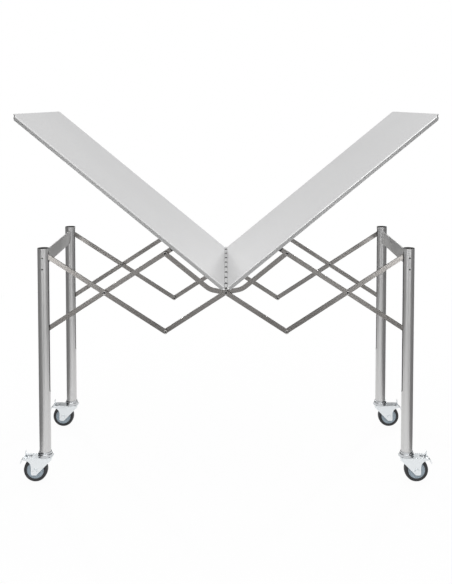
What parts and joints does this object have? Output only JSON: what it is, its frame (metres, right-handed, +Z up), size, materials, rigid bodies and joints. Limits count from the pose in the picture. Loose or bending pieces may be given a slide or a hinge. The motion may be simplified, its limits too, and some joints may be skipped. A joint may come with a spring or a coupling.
{
  "type": "folding table",
  "caption": "Mobile folding table whose hinged leaves rise in a V as scissor lattices draw its caster-borne end frames together.",
  "frame": {"origin": "on the floor, midway between the four legs, below the leaf hinge", "axes": "+X to the right along the table, +Y away from the viewer, +Z up"},
  "size_m": [1.4324, 0.8, 1.2789],
  "materials": {
    "leaf_paint": "light grey powder coat on aluminium sheet, satin",
    "leg_satin": "grey satin coat",
    "bar_steel": "drawn steel, satin",
    "plated_steel": "plated, satin",
    "dark_steel": "blackened",
    "bright_zinc": "bright zinc plated",
    "black_nylon": "moulded, matt",
    "hub_plastic": "grey-blue moulded, matt",
    "tyre_rubber": "solid rubber tread, matt"
  },
  "bodies": {
    "end_frame_left": {"leg_left_front": "leg_satin", "leg_left_rear": "leg_satin", "rail_left": "leg_satin", "leg_pins_left": "plated_steel", "caster_heads_left": "bright_zinc"},
    "outer_bars_left": {"outer_bar_left_front": "bar_steel", "outer_bar_left_rear": "bar_steel", "outer_rivets_left": "plated_steel"},
    "lifting_bars_left": {"lifting_bar_left_front": "bar_steel", "lifting_bar_left_rear": "bar_steel", "upper_rivets_left": "plated_steel", "bar_end_pins_left": "plated_steel"},
    "middle_bars_left": {"middle_bar_left_front": "bar_steel", "middle_bar_left_rear": "bar_steel"},
    "sliders_left": {"sliders_left": "black_nylon"},
    "leaf_left": {"leaf_left": "leaf_paint", "saddles_left": "black_nylon"},
    "caster_left_front": {"fork_left_front": "bright_zinc", "axle_left_front": "bright_zinc"},
    "wheel_left_front": {"hub_left_front": "hub_plastic", "tyre_left_front": "tyre_rubber"},
    "pedal_left_front": {"pedal_left_front": "bright_zinc"},
    "caster_left_rear": {"fork_left_rear": "bright_zinc", "axle_left_rear": "bright_zinc"},
    "wheel_left_rear": {"hub_left_rear": "hub_plastic", "tyre_left_rear": "tyre_rubber"},
    "pedal_left_rear": {"pedal_left_rear": "bright_zinc"},
    "end_frame_right": {"leg_right_front": "leg_satin", "leg_right_rear": "leg_satin", "rail_right": "leg_satin", "leg_pins_right": "plated_steel", "caster_heads_right": "bright_zinc"},
    "outer_bars_right": {"outer_bar_right_front": "bar_steel", "outer_bar_right_rear": "bar_steel", "outer_rivets_right": "plated_steel"},
    "lifting_bars_right": {"lifting_bar_right_front": "bar_steel", "lifting_bar_right_rear": "bar_steel", "upper_rivets_right": "plated_steel", "bar_end_pins_right": "plated_steel"},
    "middle_bars_right": {"middle_bar_right_front": "bar_steel", "middle_bar_right_rear": "bar_steel", "middle_rivets": "plated_steel"},
    "sliders_right": {"sliders_right": "black_nylon"},
    "leaf_right": {"leaf_right": "leaf_paint", "saddles_right": "black_nylon"},
    "caster_right_front": {"fork_right_front": "bright_zinc", "axle_right_front": "bright_zinc"},
    "wheel_right_front": {"hub_right_front": "hub_plastic", "tyre_right_front": "tyre_rubber"},
    "pedal_right_front": {"pedal_right_front": "bright_zinc"},
    "caster_right_rear": {"fork_right_rear": "bright_zinc", "axle_right_rear": "bright_zinc"},
    "wheel_right_rear": {"hub_right_rear": "hub_plastic", "tyre_right_rear": "tyre_rubber"},
    "pedal_right_rear": {"pedal_right_rear": "bright_zinc"},
    "leaf_hinge": {"hinge_pin": "dark_steel", "hinge_spacers": "black_nylon"}
  },
  "joints": [
    {"name": "fold", "type": "hinge", "parent": "end_frame_left", "child": "outer_bars_left", "pos_m": [-0.629, 0, 0.798], "axis": [0, 1, 0], "range_deg": [-30.5, 34]},
    {"name": "lift_left", "type": "hinge", "parent": "outer_bars_left", "child": "lifting_bars_left", "pos_m": [-0.41934, 0, 0.66184], "axis": [0, 1, 0], "range_deg": [-68.5, 61.5]},
    {"name": "slider_left", "type": "hinge", "parent": "lifting_bars_left", "child": "sliders_left", "pos_m": [-0.629, 0, 0.52568], "axis": [0, 1, 0], "range_deg": [-31, 34.5]},
    {"name": "middle_right", "type": "hinge", "parent": "outer_bars_left", "child": "middle_bars_right", "pos_m": [-0.20967, 0, 0.52568], "axis": [0, 1, 0], "range_deg": [-68.5, 61.5]},
    {"name": "middle_left", "type": "hinge", "parent": "middle_bars_right", "child": "middle_bars_left", "pos_m": [0, 0, 0.66184], "axis": [0, 1, 0], "range_deg": [-61.5, 68.5]},
    {"name": "hinge_level", "type": "hinge", "parent": "middle_bars_right", "child": "leaf_hinge", "pos_m": [0, 0, 0.66184], "axis": [0, 1, 0], "range_deg": [-31, 34.5]},
    {"name": "leaf_left", "type": "hinge", "parent": "leaf_hinge", "child": "leaf_left", "pos_m": [0, 0, 0.70584], "axis": [0, 1, 0], "range_deg": [-40.05, 44.59]},
    {"name": "leaf_right", "type": "hinge", "parent": "leaf_hinge", "child": "leaf_right", "pos_m": [0, 0, 0.70584], "axis": [0, 1, 0], "range_deg": [-44.59, 40.05]},
    {"name": "outer_right", "type": "hinge", "parent": "middle_bars_left", "child": "outer_bars_right", "pos_m": [0.20967, 0, 0.52568], "axis": [0, 1, 0], "range_deg": [-68.5, 61.5]},
    {"name": "lift_right", "type": "hinge", "parent": "outer_bars_right", "child": "lifting_bars_right", "pos_m": [0.41934, 0, 0.66184], "axis": [0, 1, 0], "range_deg": [-61.5, 68.5]},
    {"name": "frame_right", "type": "hinge", "parent": "outer_bars_right", "child": "end_frame_right", "pos_m": [0.629, 0, 0.798], "axis": [0, 1, 0], "range_deg": [-31, 34.5]},
    {"name": "slider_right", "type": "hinge", "parent": "lifting_bars_right", "child": "sliders_right", "pos_m": [0.629, 0, 0.52568], "axis": [0, 1, 0], "range_deg": [-34.5, 31]},
    {"name": "swivel_left_front", "type": "hinge", "parent": "end_frame_left", "child": "caster_left_front", "pos_m": [-0.629, -0.26, 0.085], "axis": [0, 0, 1], "continuous": true},
    {"name": "wheel_left_front", "type": "hinge", "parent": "caster_left_front", "child": "wheel_left_front", "pos_m": [-0.662, -0.26, 0.041], "axis": [0, 1, 0], "continuous": true},
    {"name": "pedal_left_front", "type": "hinge", "parent": "caster_left_front", "child": "pedal_left_front", "pos_m": [-0.697, -0.26, 0.08], "axis": [0, -1, 0], "range_deg": [0, 14]},
    {"name": "swivel_left_rear", "type": "hinge", "parent": "end_frame_left", "child": "caster_left_rear", "pos_m": [-0.629, 0.26, 0.085], "axis": [0, 0, 1], "continuous": true},
    {"name": "wheel_left_rear", "type": "hinge", "parent": "caster_left_rear", "child": "wheel_left_rear", "pos_m": [-0.662, 0.26, 0.041], "axis": [0, 1, 0], "continuous": true},
    {"name": "pedal_left_rear", "type": "hinge", "parent": "caster_left_rear", "child": "pedal_left_rear", "pos_m": [-0.697, 0.26, 0.08], "axis": [0, -1, 0], "range_deg": [0, 14]},
    {"name": "swivel_right_front", "type": "hinge", "parent": "end_frame_right", "child": "caster_right_front", "pos_m": [0.629, -0.26, 0.085], "axis": [0, 0, 1], "continuous": true},
    {"name": "wheel_right_front", "type": "hinge", "parent": "caster_right_front", "child": "wheel_right_front", "pos_m": [0.662, -0.26, 0.041], "axis": [0, 1, 0], "continuous": true},
    {"name": "pedal_right_front", "type": "hinge", "parent": "caster_right_front", "child": "pedal_right_front", "pos_m": [0.697, -0.26, 0.08], "axis": [0, 1, 0], "range_deg": [0, 14]},
    {"name": "swivel_right_rear", "type": "hinge", "parent": "end_frame_right", "child": "caster_right_rear", "pos_m": [0.629, 0.26, 0.085], "axis": [0, 0, 1], "continuous": true},
    {"name": "wheel_right_rear", "type": "hinge", "parent": "caster_right_rear", "child": "wheel_right_rear", "pos_m": [0.662, 0.26, 0.041], "axis": [0, 1, 0], "continuous": true},
    {"name": "pedal_right_rear", "type": "hinge", "parent": "caster_right_rear", "child": "pedal_right_rear", "pos_m": [0.697, 0.26, 0.08], "axis": [0, 1, 0], "range_deg": [0, 14]}
  ],
  "couplings": [
    {"joint": "lift_left", "follows": "fold", "ratio": -2},
    {"joint": "slider_left", "follows": "fold", "ratio": 1},
    {"joint": "middle_right", "follows": "fold", "ratio": -2},
    {"joint": "middle_left", "follows": "fold", "ratio": 2},
    {"joint": "hinge_level", "follows": "fold", "ratio": 1},
    {"joint": "leaf_left", "follows": "fold", "ratio": 1.2968},
    {"joint": "leaf_right", "follows": "fold", "ratio": -1.2968},
    {"joint": "outer_right", "follows": "fold", "ratio": -2},
    {"joint": "lift_right", "follows": "fold", "ratio": 2},
    {"joint": "frame_right", "follows": "fold", "ratio": 1},
    {"joint": "slider_right", "follows": "fold", "ratio": -1}
  ]
}
